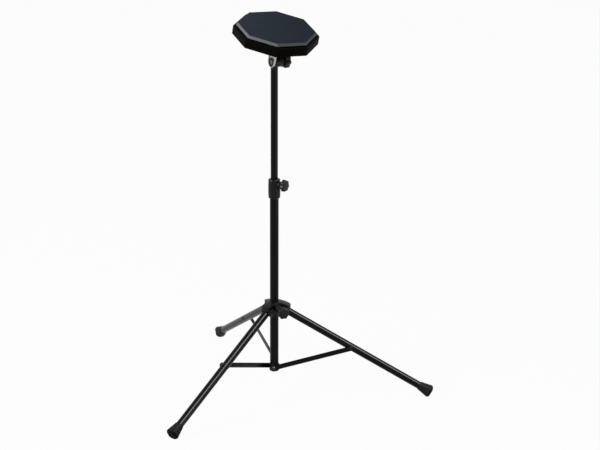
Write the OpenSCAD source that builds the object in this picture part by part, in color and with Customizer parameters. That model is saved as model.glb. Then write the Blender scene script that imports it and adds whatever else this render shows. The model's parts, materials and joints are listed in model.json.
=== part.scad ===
// Drum practice pad on a folding tripod stand.
// Millimetres, +Z up. The origin lies on the column's axis at floor level, and the front leg points along -Y.

/* [Column] */
// Outer diameter of the lower tube
lower_tube_d = 22; // [20:0.5:26]
// Wall of the column's tubes
column_wall = 1.2; // [0.8:0.1:1.6]
// Wall of the guide bush between the two tubes
bush_wall = 0.67; // [0.5:0.01:1.2]
// Length of the guide bush
bush_length = 24; // [14:1:40]
// Height of the brace pivots on the base plug
base_pivot_z = 58.9; // [50:0.1:75]
// Distance from the brace pivots up to the lower tube's end
base_plug_rise = 9; // [7:0.5:14]
// Distance from the brace pivots down to the base plug's underside
base_plug_drop = 13; // [9:0.5:20]
// Depth of a plug pressed into a tube
plug_depth = 26; // [14:1:40]

/* [Height clamp] */
// Height of the clamp collar's top
clamp_top_z = 558.4; // [480:0.2:640]
// Length of the clamp collar
clamp_h = 49; // [44:0.2:70]
// Wall of the clamp collar outside the lower tube
clamp_wall = 3.5; // [2.4:0.1:5]
// Swell of the clamp collar at half its length
clamp_swell = 0.7; // [0.3:0.1:1.5]
// Distance from the clamp collar's top to the lower tube's end
clamp_shoulder = 26; // [22:0.5:32]
// Depth of the clamp screw below the collar's top
clamp_screw_drop = 13; // [11:0.5:15]
// Direction of the clamp screw round the column
clamp_azimuth = 5; // [0:1:359]

/* [Upper tube] */
// Height of the tilt bolt
tilt_z = 853; // [780:1:900]
// Length of the upper tube
mast_length = 396; // [330:1:430]
// Distance from the tilt bolt down to the upper tube's end
knuckle_neck = 18; // [17.5:0.5:26]
// Diameter of the hinge knuckle's barrel
knuckle_d = 27; // [20:0.5:28]
// Distance from the column's axis to the knuckle's face against the bracket
knuckle_lap = 5.2; // [3:0.1:7]
// Distance from the column's axis to the knuckle's face against the washer
knuckle_reach = 20; // [14:0.5:26]

/* [Tilt bracket] */
// Tilt of the pad from level
tilt_angle = 16; // [0:1:40]
// Direction in which the pad tilts, round the column
tilt_azimuth = 339.2; // [0:0.1:359.9]
// Distance from the tilt bolt to the underside of the pad
bracket_rise = 61.1; // [50:0.1:80]
// Width of the bracket's cheek at the pad
bracket_w = 37; // [33:0.5:46]
// Radius of the cheek's lower end
cheek_r = 13.5; // [12.5:0.5:16]
// Thickness of the bracket's sheet
bracket_t = 2.2; // [1.5:0.1:3]
// Height of the cheek's pressed rim
rim_h = 2.4; // [1:0.1:3.5]
// Width of the cheek's pressed rim
rim_w = 2.2; // [1.5:0.1:3.5]
// Length of the bracket's plate under the pad
plate_length = 66; // [60:1:80]
// Width of the bracket's plate under the pad
plate_w = 34; // [32:0.5:44]
// Diameter of the tilt bolt
bolt_d = 8; // [6:0.5:10]
// Diameter of the screws that hold the bracket
bracket_screw_d = 4; // [3:0.5:5]

/* [Pad] */
// Base board across its flats
base_across = 194; // [170:1:230]
// Thickness of the base board
base_t = 21.4; // [14:0.2:28]
// Chamfer on the base board's edges
base_chamfer = 1; // [0.5:0.1:2.5]
// Damping sheet and foot of the rubber across flats
sheet_across = 182; // [150:0.5:215]
// Thickness of the damping sheet
sheet_t = 3; // [1:0.2:6]
// Thickness of the rubber
rubber_t = 6.2; // [4:0.2:12]
// Width of the rubber's bevelled edge
rubber_bevel = 3.3; // [1.5:0.1:6]
// Turn of the pad on its bracket
pad_turn = 15.4; // [0:0.1:44.9]
// Offset of the pad on its bracket, towards the bolt's head
pad_offset = 6.5; // [0:0.5:10]
// Offset of the pad on its bracket, away from the low side
pad_back = 2.5; // [0:0.5:10]

/* [Legs] */
// Outer diameter of a leg
leg_d = 19; // [16:0.5:22]
// Wall of a leg tube
leg_wall = 1.2; // [0.8:0.1:2]
// Slope of the legs below level
leg_slope = 28.8; // [24:0.1:38]
// Distance from the column's axis to the end of a foot
leg_spread = 402; // [340:1:460]
// Distance from a leg's pivot to its upper end
leg_end = 5.5; // [5:0.1:8]
// Distance from the column's axis to a brace's pivot on the leg
brace_r = 197.5; // [170:0.5:230]
// Depth of a brace strip
brace_depth = 12.5; // [9:0.5:14]
// Thickness of a brace strip
brace_t = 2; // [1.5:0.1:3]
// Diameter of the brace pivots
brace_pin_d = 5; // [4:0.1:6]
// Diameter of the leg pivot pins
leg_pin_d = 6; // [5:0.1:7]

/* [Leg collar] */
// Wall of the leg collar outside the lower tube
collar_wall = 4.5; // [3.5:0.1:7]
// Height of the leg collar's top above the leg pivots
collar_rise = 22.4; // [21:0.2:30]
// Fall of the collar's roof from the column to the end of a lug
roof_fall = 10.4; // [6:0.2:11]
// Radius of the web between two lugs
web_r = 22; // [12:1:30]
// Depth of the web between two lugs
web_h = 12; // [8:0.5:16]
// Depth of the leg collar below the leg pivots
collar_drop = 20; // [16:0.5:28]
// Wall of a lug beside its leg
lug_wall = 2.8; // [2:0.1:4]
// Length of a lug outside the leg's pivot
lug_reach = 14.5; // [13:0.5:20]
// Length of the clamp boss from the column's axis
collar_boss = 44; // [38:0.5:52]
// Height of the clamp screw above the leg pivots
collar_screw_rise = 7.5; // [4:0.5:9]
// Direction of the clamp screw round the column
collar_screw_azimuth = 330; // [315:1:345]

/* [Feet] */
// Length of a rubber foot
foot_length = 34; // [26:1:44]
// Thickness of a foot's floor under the leg's end
foot_floor = 6; // [4:0.5:10]
// Wall of a foot at its rim
foot_wall = 1.4; // [1:0.1:3]
// Flare of a foot beyond its rim
foot_flare = 5.4; // [3:0.1:8]
// Bevel round a foot's end
foot_bevel = 5; // [3:0.2:6]
// Depth of the flat worn on a foot's sole
sole_depth = 1.2; // [0.8:0.1:2]

/* [Knobs] */
// Diameter of a clamp knob across its lobes
knob_d = 30; // [26:0.5:36]
// Diameter of the tilt knob across its lobes
tilt_knob_d = 37; // [28:0.5:42]
// Thickness of a clamp knob's head
knob_t = 12; // [9:0.5:16]
// Thickness of the tilt knob's head
tilt_knob_t = 16; // [11:0.5:20]
// Number of lobes
knob_lobes = 7; // [5:1:9]
// Depth of the dips between a knob's lobes
knob_dip = 2.5; // [1.5:0.1:3.5]
// Diameter of the hub of a clamp knob
knob_hub_d = 14; // [12:0.5:18]
// Length of the hub of the height clamp's knob
clamp_hub = 2.5; // [1.5:0.5:8]
// Length of the hub of the leg collar's knob
collar_hub = 10; // [3:0.5:14]
// Diameter of the hub of the tilt knob
tilt_hub_d = 18; // [17:0.5:24]
// Length of the hub of the tilt knob
tilt_hub = 2; // [2:0.5:10]
// Diameter of the clamp screws
screw_d = 6; // [5:0.5:8]
// Travel of a clamp screw between tight and loose
screw_travel = 2; // [1:0.5:3]
// Thickness of a brake shoe
shoe_t = 3; // [2.5:0.1:5]
// Length of a clamp nut
nut_t = 5; // [4:0.5:7]

/* [Hidden] */
$fn = 64;
// clearances: a turning or sliding fit, a pressed fit, flat faces side by side, free curved faces
run_gap = 0.065;
fit_gap = 0.05;
face_gap = 0.1;
free_gap = 0.3;
// length by which a cut runs past a face
over = 1;

sides = ["front", "right", "left"];
PER_LEG = ["leg", "leg_plug", "foot", "brace_pin", "brace_spacer", "brace", "hub_screw", "leg_pin"];

gloss_black = [0.06, 0.06, 0.065];
plastic_black = [0.13, 0.13, 0.14];
rubber_black = [0.09, 0.09, 0.1];
zinc = [0.72, 0.71, 0.7];
dark_steel = [0.16, 0.16, 0.17];
brass = [0.72, 0.58, 0.3];
slate = [0.17, 0.19, 0.22];

// column
lower_r = lower_tube_d / 2;
lower_bore_r = lower_r - column_wall;
upper_r = lower_bore_r - bush_wall - 2 * run_gap;
upper_bore_r = upper_r - column_wall;
lower_end_z = base_pivot_z + base_plug_rise;
lower_top_z = clamp_top_z - clamp_shoulder;
clamp_screw_z = clamp_top_z - clamp_screw_drop;
mast_top_z = tilt_z - knuckle_neck;
mast_end_z = mast_top_z - mast_length;
stop_h = 3;
ring_h = 2;
base_flat = 1.3;

// legs: pivot P, brace pivot Q on the leg, and the foot's end
leg_r = leg_d / 2;
leg_sweep_r = norm([leg_end, leg_r]);
collar_r = lower_r + run_gap + collar_wall;
pivot_r = collar_r + free_gap + leg_sweep_r;
foot_r = leg_r + fit_gap + foot_wall;
flare_r = foot_r + foot_flare;
foot_end_z = flare_r * cos(leg_slope) - foot_bevel * sin(leg_slope) - sole_depth;
pivot_z = foot_end_z + (leg_spread - pivot_r) * tan(leg_slope);
leg_length = (leg_spread - pivot_r) / cos(leg_slope);
brace_s = (brace_r - pivot_r) / cos(leg_slope);
brace_z = pivot_z - (brace_r - pivot_r) * tan(leg_slope);
brace_length = norm([brace_r, brace_z - base_pivot_z]);
brace_slope = atan2(brace_z - base_pivot_z, brace_r);
brace_in = max(lower_r, leg_r) + free_gap;
brace_out = brace_in + brace_t;
cap_t = 2.5;
cap_bevel = 0.6;
foot_lip = 0.7;

// leg collar
lug_r = leg_r + free_gap + lug_wall;
lug_corner = 8;
collar_edge = 1.2;
ear_wall = 0.8;
ear_r = leg_sweep_r + ear_wall;
lug_end = pivot_r + lug_reach;
slot_r = leg_sweep_r + free_gap / 2;
roof_r = (lug_end * lug_end + roof_fall * roof_fall) / (2 * roof_fall);
collar_top_z = pivot_z + collar_rise;
collar_low_z = pivot_z - collar_drop;
collar_screw_z = pivot_z + collar_screw_rise;

// clamp screws: shoe, tip, nut and boss
shoe_rim = 2;
shoe_d = screw_d + 2 * shoe_rim;
shoe_floor = 1.2;
tip_step = 1;
tip_d = screw_d - 2 * tip_step;
tip_h = shoe_t - shoe_floor;
nut_wall = 2;
nut_af = screw_d + 2 * nut_wall;
boss_wall = 3.5;
boss_d = nut_af + 2 * boss_wall;
boss_lip = 1.4;
knob_gap = 0.5;

// tilter
cheek_in = knuckle_lap + face_gap;
cheek_out = cheek_in + bracket_t;
lap_r = cheek_r + 2.5 * free_gap;
plate_mid = cheek_in + bracket_t / 2;
screw_x = plate_length / 2 - 2 * bracket_screw_d;
screw_y = plate_w / 2 - 1.5 * bracket_screw_d;
screw_h = base_t / 2;
bolt_head_d = 1.5 * bolt_d;
bolt_head_h = 0.6 * bolt_d;
washer_t = 1.6;
washer_start = knuckle_reach + face_gap;
knob_start = washer_start + washer_t + face_gap;
bolt_hole = tilt_hub + tilt_knob_t / 2;
bolt_end = knob_start + bolt_hole - free_gap;
insert_d = 1.75 * bolt_d;
insert_h = tilt_hub + tilt_knob_t / 4;

function leg_azimuth(i) = 270 + 120 * i;
// circumradius of a polygon with eight sides, from its width across flats
function octagon_r(across) = across / 2 / cos(180 / 8);
// distances along a clamp screw, from the column's axis, for a tube of radius r
function shoe_start(r) = r + free_gap;
function shoe_end(r) = shoe_start(r) + shoe_t;
function nut_start(r) = shoe_end(r) + screw_travel + free_gap;
function boss_end(r) = nut_start(r) + nut_t + boss_lip;

// placing modules
module on_leg(i)
    rotate([0, 0, leg_azimuth(i)]) translate([pivot_r, 0, pivot_z]) rotate([0, 90 + leg_slope, 0]) children();
module beside_leg(i, r, z)
    rotate([0, 0, leg_azimuth(i)]) translate([r, 0, z]) rotate([90, 0, 0]) children();
module on_clamp_screw()
    rotate([0, 0, clamp_azimuth]) translate([0, 0, clamp_screw_z]) rotate([0, 90, 0]) children();
module on_collar_screw()
    rotate([0, 0, collar_screw_azimuth]) translate([0, 0, collar_screw_z]) rotate([0, 90, 0]) children();
module on_knuckle() translate([0, 0, tilt_z]) rotate([0, 0, tilt_azimuth]) children();
module on_bracket() on_knuckle() rotate([0, tilt_angle, 0]) children();
module on_bolt() on_bracket() rotate([-90, 0, 0]) children();
module on_bracket_screws() {
    on_bracket() for (x = [-1, 1]) for (y = [-1, 1])
        translate([x * screw_x, y * screw_y - plate_mid, bracket_rise]) children();
}
module on_pad()
    on_bracket() translate([-pad_back, -pad_offset, bracket_rise]) rotate([0, 0, pad_turn]) children();

// general shapes
module pipe(r, wall, h) {
    difference() {
        cylinder(r = r, h = h);
        translate([0, 0, -over]) cylinder(r = r - wall, h = h + 2 * over);
    }
}

module cross_bore(d, s) {
    translate([0, 0, s]) rotate([90, 0, 0]) cylinder(d = d, h = 3 * leg_d, center = true);
}

// spherical cap of diameter d and height h
module dome(d, h) {
    cap_r = (h * h + d * d / 4) / (2 * h);
    rotate_extrude() intersection() {
        translate([0, h - cap_r]) circle(r = cap_r);
        square([d / 2, h]);
    }
}

// bar with round ends, from the origin along X
module round_bar(length, width) {
    translate([0, -width / 2]) square([length, width]);
    circle(d = width);
    translate([length, 0]) circle(d = width);
}

// disc with a bevelled rim at both ends
module bevelled_disc(r, h, bevel) {
    rotate_extrude() polygon([[0, 0], [r - bevel, 0], [r, bevel], [r, h - bevel], [r - bevel, h], [0, h]]);
}

module octagon_plate(across, h) cylinder(r = octagon_r(across), h = h, $fn = 8);
module octagon_taper(low, high, h) cylinder(r1 = octagon_r(low), r2 = octagon_r(high), h = h, $fn = 8);

// plug with a spigot that goes down into a tube from z = 0
module spigot(bore_r) {
    translate([0, 0, -plug_depth]) cylinder(r = bore_r - fit_gap, h = plug_depth);
}

// knob: hub from z = 0, then a lobed head with rounded rims, with a blind hole for its screw
module star_knob(d, t, hub_d, hub, hole_d, hole_h) {
    lobe_r = 0.16 * d;
    bevel = t / 4;
    rim_r = d / 2;
    difference() {
        union() {
            cylinder(d = hub_d, h = hub + over);
            translate([0, 0, hub]) intersection() {
                linear_extrude(t) {
                    circle(r = rim_r - knob_dip);
                    for (k = [0 : knob_lobes - 1])
                        rotate(k * 360 / knob_lobes) translate([rim_r - lobe_r, 0]) circle(r = lobe_r);
                }
                rotate_extrude()
                    polygon([[0, 0], [rim_r - bevel, 0], [rim_r, bevel], [rim_r, t - 1.5 * bevel],
                             [rim_r - bevel, t - 0.4 * bevel], [rim_r / 2, t], [0, t]]);
            }
        }
        translate([0, 0, -over]) cylinder(d = hole_d, h = hole_h + over);
    }
}

// brake shoe that rides on a tube of radius r, with a socket for the screw's tip
module brake_shoe(r) {
    difference() {
        translate([0, 0, r - over]) cylinder(d = shoe_d, h = shoe_end(r) - r + over);
        rotate([0, 90, 0]) cylinder(r = r + free_gap, h = 2 * shoe_d, center = true);
        translate([0, 0, shoe_end(r) - tip_h]) cylinder(d = tip_d + 2 * run_gap, h = tip_h + over);
    }
}

module brake_screw(r, end) {
    tip_start = shoe_end(r) - tip_h + face_gap;
    translate([0, 0, tip_start]) cylinder(d = tip_d, h = tip_h + over);
    translate([0, 0, shoe_end(r) + face_gap]) cylinder(d = screw_d, h = end - shoe_end(r) - face_gap);
}

module brake_nut(r) {
    translate([0, 0, nut_start(r)]) difference() {
        cylinder(d = nut_af / cos(30), h = nut_t, $fn = 6);
        translate([0, 0, -over]) cylinder(d = screw_d + 2 * run_gap, h = nut_t + 2 * over);
    }
}

// space in a boss for the shoe, the nut and the screw
module brake_space(r, end) {
    cylinder(d = shoe_d + 2 * run_gap, h = nut_start(r) - face_gap);
    translate([0, 0, nut_start(r) - face_gap])
        cylinder(d = nut_af / cos(30) + 2 * fit_gap, h = nut_t + face_gap + fit_gap, $fn = 6);
    cylinder(d = screw_d + 2 * free_gap, h = end + over);
}

// column
module lower_tube() {
    color(gloss_black) translate([0, 0, lower_end_z]) pipe(lower_r, column_wall, lower_top_z - lower_end_z);
}

// plug in the lower tube's end, with a flat for each brace and a domed underside
module base_plug() {
    body_r = brace_in + base_flat;
    body_h = base_plug_rise + base_plug_drop;
    dome_r = 1.6 * body_r;
    color(plastic_black) {
        translate([0, 0, lower_end_z]) mirror([0, 0, 1]) spigot(lower_bore_r);
        translate([0, 0, lower_end_z - body_h]) difference() {
            intersection() {
                cylinder(r = body_r, h = body_h);
                translate([0, 0, dome_r]) sphere(r = dome_r);
            }
            for (i = [0 : 2])
                rotate(leg_azimuth(i)) translate([-body_r, -body_r - brace_in + face_gap, -over])
                    cube([2 * body_r, body_r, body_h + 2 * over]);
        }
    }
}

module clamp_collar() {
    low_r = lower_r + clamp_wall;
    wide_r = low_r + clamp_swell;
    swell_r = (clamp_h * clamp_h / 4 + clamp_swell * clamp_swell) / (2 * clamp_swell);
    edge = clamp_wall / 2;
    color(plastic_black) difference() {
        union() {
            translate([0, 0, clamp_top_z - clamp_h]) rotate_extrude() intersection() {
                translate([wide_r - swell_r, clamp_h / 2]) circle(r = swell_r, $fn = 360);
                polygon([[0, 0], [low_r - edge, 0], [wide_r, edge + clamp_swell], [wide_r, clamp_h - edge],
                         [low_r - edge / 2, clamp_h], [0, clamp_h]]);
            }
            on_clamp_screw() cylinder(d = boss_d, h = boss_end(upper_r));
        }
        translate([0, 0, clamp_top_z - clamp_h - over])
            cylinder(r = lower_r + fit_gap, h = clamp_h - clamp_shoulder + over);
        cylinder(r = upper_r + run_gap, h = clamp_top_z + over);
        on_clamp_screw() brake_space(upper_r, boss_end(upper_r));
    }
}

module clamp_nut() color(brass) on_clamp_screw() brake_nut(upper_r);
module clamp_shoe() color(plastic_black) on_clamp_screw() brake_shoe(upper_r);

module clamp_screw() {
    color(zinc) on_clamp_screw() brake_screw(upper_r, boss_end(upper_r) + knob_gap + clamp_hub + knob_t / 2);
}

module clamp_knob() {
    color(plastic_black) on_clamp_screw() translate([0, 0, boss_end(upper_r) + knob_gap])
        star_knob(knob_d, knob_t, knob_hub_d, clamp_hub, screw_d + 2 * fit_gap, clamp_hub + knob_t / 2);
}

// upper tube
module guide_bush() {
    color(plastic_black) translate([0, 0, mast_end_z + face_gap])
        pipe(lower_bore_r - run_gap, bush_wall, bush_length);
}

module upper_tube() color(gloss_black) translate([0, 0, mast_end_z]) pipe(upper_r, column_wall, mast_length);

module mast_plug() {
    color(plastic_black) translate([0, 0, mast_end_z]) {
        mirror([0, 0, 1]) spigot(upper_bore_r);
        translate([0, 0, -stop_h]) cylinder(r = lower_bore_r - free_gap, h = stop_h);
    }
}

module bush_ring() {
    color(zinc) translate([0, 0, mast_end_z + bush_length + 2 * face_gap])
        pipe(lower_bore_r - free_gap, lower_bore_r - free_gap - upper_r - fit_gap, ring_h);
}

// hinge knuckle: a barrel across the top of the upper tube, lapped on one side for the bracket's cheek
module tilt_knuckle() {
    color(plastic_black) on_knuckle() difference() {
        union() {
            rotate([-90, 0, 0]) translate([0, 0, -knuckle_lap])
                cylinder(d = knuckle_d, h = knuckle_lap + knuckle_reach);
            translate([0, 0, -knuckle_neck]) {
                cylinder(r = upper_r, h = knuckle_neck);
                spigot(upper_bore_r);
            }
        }
        rotate([90, 0, 0]) translate([0, 0, knuckle_lap]) cylinder(r = lap_r, h = knuckle_d);
        rotate([90, 0, 0]) cylinder(d = bolt_d + 2 * run_gap, h = 4 * knuckle_reach, center = true);
    }
}

// outline of a cheek, seen along the bolt: tapered from the plate to a round end
module cheek_outline(inset) {
    end_r = cheek_r - inset;
    top_x = bracket_w / 2 - inset;
    touch = asin((bracket_w / 2 - cheek_r) / norm([bracket_rise, bracket_w / 2 - cheek_r]));
    circle(r = end_r);
    polygon([[-end_r * cos(touch), -end_r * sin(touch)], [end_r * cos(touch), -end_r * sin(touch)],
             [top_x, bracket_rise], [-top_x, bracket_rise]]);
}

// pressed bracket: plate under the pad, and one cheek with a raised rim, beside the knuckle
module tilt_bracket() {
    color(zinc) difference() {
        on_bracket() {
            translate([0, -cheek_in, 0]) rotate([90, 0, 0]) {
                linear_extrude(bracket_t) cheek_outline(0);
                linear_extrude(bracket_t + rim_h) difference() {
                    cheek_outline(0);
                    cheek_outline(rim_w);
                }
            }
            translate([(plate_w - plate_length) / 2, -plate_mid, bracket_rise - bracket_t])
                linear_extrude(bracket_t) round_bar(plate_length - plate_w, plate_w);
        }
        on_bolt() cylinder(d = bolt_d + 2 * fit_gap, h = 4 * cheek_out, center = true);
        on_bracket_screws() translate([0, 0, -bracket_t - over])
            cylinder(d = bracket_screw_d + 2 * fit_gap, h = bracket_t + 2 * over);
    }
}

// round-headed bolt, with its head against the cheek
module tilt_bolt() {
    color(zinc) on_bolt() translate([0, 0, -cheek_out]) {
        cylinder(d = bolt_d, h = cheek_out + bolt_end);
        mirror([0, 0, 1]) dome(bolt_head_d, bolt_head_h);
    }
}

module bracket_screws() {
    color(zinc) on_bracket_screws() translate([0, 0, -bracket_t]) {
        cylinder(d = bracket_screw_d, h = bracket_t + screw_h);
        mirror([0, 0, 1]) dome(1.9 * bracket_screw_d, 0.6 * bracket_screw_d);
    }
}

module tilt_washer() {
    color(zinc) on_bolt() translate([0, 0, washer_start])
        pipe(tilt_hub_d / 2, tilt_hub_d / 2 - bolt_d / 2 - run_gap, washer_t);
}

module tilt_insert() {
    color(brass) on_bolt() translate([0, 0, knob_start]) difference() {
        cylinder(d = insert_d, h = insert_h, $fn = 6);
        translate([0, 0, -over]) cylinder(d = bolt_d + 2 * run_gap, h = insert_h + 2 * over);
    }
}

module tilt_knob() {
    color(plastic_black) on_bolt() translate([0, 0, knob_start]) difference() {
        star_knob(tilt_knob_d, tilt_knob_t, tilt_hub_d, tilt_hub, bolt_d + 2 * free_gap, bolt_hole);
        translate([0, 0, -over]) cylinder(d = insert_d + 2 * fit_gap, h = insert_h + over + fit_gap, $fn = 6);
    }
}

// pad
module pad_base() {
    low = base_across - 2 * base_chamfer;
    color(gloss_black) difference() {
        on_pad() {
            octagon_taper(low, base_across, base_chamfer);
            translate([0, 0, base_chamfer]) octagon_plate(base_across, base_t - 2 * base_chamfer);
            translate([0, 0, base_t - base_chamfer]) octagon_taper(base_across, low, base_chamfer);
        }
        on_bracket_screws() translate([0, 0, -over])
            cylinder(d = bracket_screw_d + 2 * fit_gap, h = screw_h + over + face_gap);
    }
}

module damping_sheet() {
    color(rubber_black) on_pad() translate([0, 0, base_t]) octagon_plate(sheet_across, sheet_t);
}

module rubber_pad() {
    color(slate) on_pad() translate([0, 0, base_t + sheet_t])
        octagon_taper(sheet_across, sheet_across - 2 * rubber_bevel, rubber_t);
}

// leg collar: a sleeve on the lower tube with three lugs and webs under one domed roof, and a clamp boss
module lug_plan() {
    translate([0, -lug_r]) square([lug_end - lug_corner, 2 * lug_r]);
    translate([0, -lug_r + lug_corner]) square([lug_end, 2 * lug_r - 2 * lug_corner]);
    for (s = [-1, 1]) translate([lug_end - lug_corner, s * (lug_r - lug_corner)]) circle(r = lug_corner);
}

module lug_side() {
    translate([pivot_r, 0]) circle(r = ear_r);
    translate([0, -ear_r]) square([pivot_r, 2 * ear_r]);
    square([lug_end, collar_rise]);
}

// web from one lug to the next, hollowed by an arc that both lugs touch
module web_plan() {
    half = 60;
    middle = (lug_r + web_r) / sin(half);
    touch = (lug_r + web_r) / tan(half);
    difference() {
        polygon([[0, 0], [touch, lug_r], middle * [cos(half), sin(half)],
                 touch * [cos(2 * half), sin(2 * half)] + lug_r * [sin(2 * half), -cos(2 * half)]]);
        translate(middle * [cos(half), sin(half)]) circle(r = web_r);
    }
}

// the leg's path between its open and folded places, seen from the side
module leg_path() {
    clear_r = leg_r + free_gap;
    reach = 2 * lug_end;
    translate([pivot_r, 0]) {
        circle(r = slot_r);
        translate([-slot_r, -reach]) square([2 * slot_r, reach]);
        rotate(-leg_slope) translate([0, -reach]) square([reach, reach + clear_r]);
    }
}

// one lug with the web to the next one
module collar_lug() {
    intersection() {
        translate([0, 0, collar_low_z]) linear_extrude(collar_top_z - collar_low_z) lug_plan();
        translate([0, lug_r, pivot_z]) rotate([90, 0, 0]) linear_extrude(2 * lug_r) lug_side();
    }
    translate([0, 0, collar_top_z - web_h]) linear_extrude(web_h) web_plan();
}

module leg_collar() {
    slot_w = 2 * (leg_r + free_gap);
    color(plastic_black) difference() {
        union() {
            intersection() {
                union() {
                    translate([0, 0, collar_low_z])
                        bevelled_disc(collar_r, collar_top_z - collar_low_z, collar_edge);
                    for (i = [0 : 2]) rotate(leg_azimuth(i)) collar_lug();
                }
                translate([0, 0, collar_top_z - roof_r]) sphere(r = roof_r, $fn = 180);
            }
            on_collar_screw() cylinder(d = boss_d, h = collar_boss);
        }
        cylinder(r = lower_r + run_gap, h = 2 * collar_top_z);
        for (i = [0 : 2]) rotate(leg_azimuth(i)) difference() {
            translate([0, slot_w / 2, pivot_z]) rotate([90, 0, 0]) linear_extrude(slot_w) leg_path();
            cylinder(r = collar_r, h = 2 * collar_top_z);
        }
        for (i = [0 : 2]) beside_leg(i, pivot_r, pivot_z)
            cylinder(d = leg_pin_d + 2 * fit_gap, h = 4 * lug_r, center = true);
        on_collar_screw() brake_space(lower_r, collar_boss);
    }
}

module collar_nut() color(brass) on_collar_screw() brake_nut(lower_r);
module collar_shoe() color(plastic_black) on_collar_screw() brake_shoe(lower_r);

module collar_screw() {
    color(zinc) on_collar_screw() brake_screw(lower_r, collar_boss + knob_gap + collar_hub + knob_t / 2);
}

module collar_knob() {
    color(plastic_black) on_collar_screw() translate([0, 0, collar_boss + knob_gap])
        star_knob(knob_d, knob_t, knob_hub_d, collar_hub, screw_d + 2 * fit_gap, collar_hub + knob_t / 2);
}

module leg_pin(i) {
    color(dark_steel) beside_leg(i, pivot_r, pivot_z) {
        cylinder(d = leg_pin_d, h = 2 * lug_r, center = true);
        for (s = [0, 1]) mirror([0, 0, s]) translate([0, 0, lug_r]) dome(1.7 * leg_pin_d, leg_pin_d / 3);
    }
}

// legs
module leg(i) {
    tube_start = cap_t - leg_end;
    color(gloss_black) on_leg(i) difference() {
        translate([0, 0, tube_start]) pipe(leg_r, leg_wall, leg_length - foot_floor - tube_start);
        cross_bore(leg_pin_d + 2 * run_gap, 0);
        cross_bore(brace_pin_d + 2 * fit_gap, brace_s);
    }
}

module leg_plug(i) {
    color(plastic_black) on_leg(i) difference() {
        translate([0, 0, -leg_end]) {
            bevelled_disc(leg_r, cap_t, cap_bevel);
            translate([0, 0, cap_t]) mirror([0, 0, 1]) spigot(leg_r - leg_wall);
        }
        cross_bore(leg_pin_d + 2 * run_gap, 0);
    }
}

// rubber cap, flared to its end, with a flat where it stands on the floor
module foot(i) {
    start = leg_length - foot_length;
    color(rubber_black) difference() {
        on_leg(i) difference() {
            translate([0, 0, start]) rotate_extrude()
                polygon([[0, 0], [foot_r - foot_lip, 0], [foot_r, foot_lip],
                         [flare_r, foot_length - foot_bevel], [flare_r - 0.6 * foot_bevel, foot_length],
                         [0, foot_length]]);
            translate([0, 0, start - over])
                cylinder(r = leg_r + fit_gap, h = foot_length - foot_floor + over);
        }
        rotate(leg_azimuth(i)) translate([leg_spread - 3 * foot_length, -foot_length, -foot_length])
            cube([4 * foot_length, 2 * foot_length, foot_length]);
    }
}

// rivet through the leg and the brace
module brace_pin(i) {
    head_d = 1.8 * brace_pin_d;
    head_h = 0.4 * brace_pin_d;
    color(dark_steel) beside_leg(i, brace_r, brace_z) {
        translate([0, 0, -leg_r]) cylinder(d = brace_pin_d, h = leg_r + brace_out + face_gap);
        translate([0, 0, -leg_r]) mirror([0, 0, 1]) dome(head_d, head_h);
        translate([0, 0, brace_out + face_gap]) dome(head_d, head_h);
    }
}

// saddle washer between the leg and the brace
module brace_spacer(i) {
    spacer_d = 2.2 * brace_pin_d;
    color(plastic_black) difference() {
        beside_leg(i, brace_r, brace_z) difference() {
            cylinder(d = spacer_d, h = brace_in - face_gap);
            translate([0, 0, -over]) cylinder(d = brace_pin_d + 2 * fit_gap, h = brace_in + 2 * over);
        }
        on_leg(i) cylinder(r = leg_r + fit_gap, h = leg_length);
    }
}

// flat strip beside the leg, with a stiffening bead
module brace(i) {
    bead_inset = 1.6 * brace_depth;
    color(gloss_black) beside_leg(i, 0, base_pivot_z) rotate([0, 0, brace_slope]) {
        translate([0, 0, brace_in]) linear_extrude(brace_t) difference() {
            round_bar(brace_length, brace_depth);
            circle(d = brace_pin_d + 2 * fit_gap);
            translate([brace_length, 0]) circle(d = brace_pin_d + 2 * run_gap);
        }
        translate([bead_inset, 0, brace_out]) linear_extrude(0.4 * brace_t)
            round_bar(brace_length - 2 * bead_inset, 0.4 * brace_depth);
    }
}

// screw that ends flush with the brace's inner face, against the base plug's flat
module hub_screw(i) {
    color(dark_steel) beside_leg(i, 0, base_pivot_z) {
        translate([0, 0, brace_in]) cylinder(d = brace_pin_d, h = brace_t);
        translate([0, 0, brace_out]) dome(1.8 * brace_pin_d, 0.48 * brace_pin_d);
    }
}

lower_tube();
base_plug();
clamp_collar();
clamp_nut();
clamp_shoe();
clamp_screw();
clamp_knob();
guide_bush();
upper_tube();
mast_plug();
bush_ring();
tilt_knuckle();
tilt_bracket();
tilt_bolt();
bracket_screws();
tilt_washer();
tilt_knob();
tilt_insert();
pad_base();
damping_sheet();
rubber_pad();
leg_collar();
collar_nut();
collar_shoe();
collar_screw();
collar_knob();
for (i = [0 : 2]) {
    leg(i);
    leg_plug(i);
    foot(i);
    brace_pin(i);
    brace_spacer(i);
    brace(i);
    hub_screw(i);
    leg_pin(i);
}
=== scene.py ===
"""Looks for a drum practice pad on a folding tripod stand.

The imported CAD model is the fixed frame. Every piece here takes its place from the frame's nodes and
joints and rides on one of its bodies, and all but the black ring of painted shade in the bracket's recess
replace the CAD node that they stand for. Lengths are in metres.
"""

import json
import logging
import math
from dataclasses import dataclass, field
from enum import Enum
from typing import Iterable, Sequence

import bmesh
import bpy
from mathutils import Matrix, Vector


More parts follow.
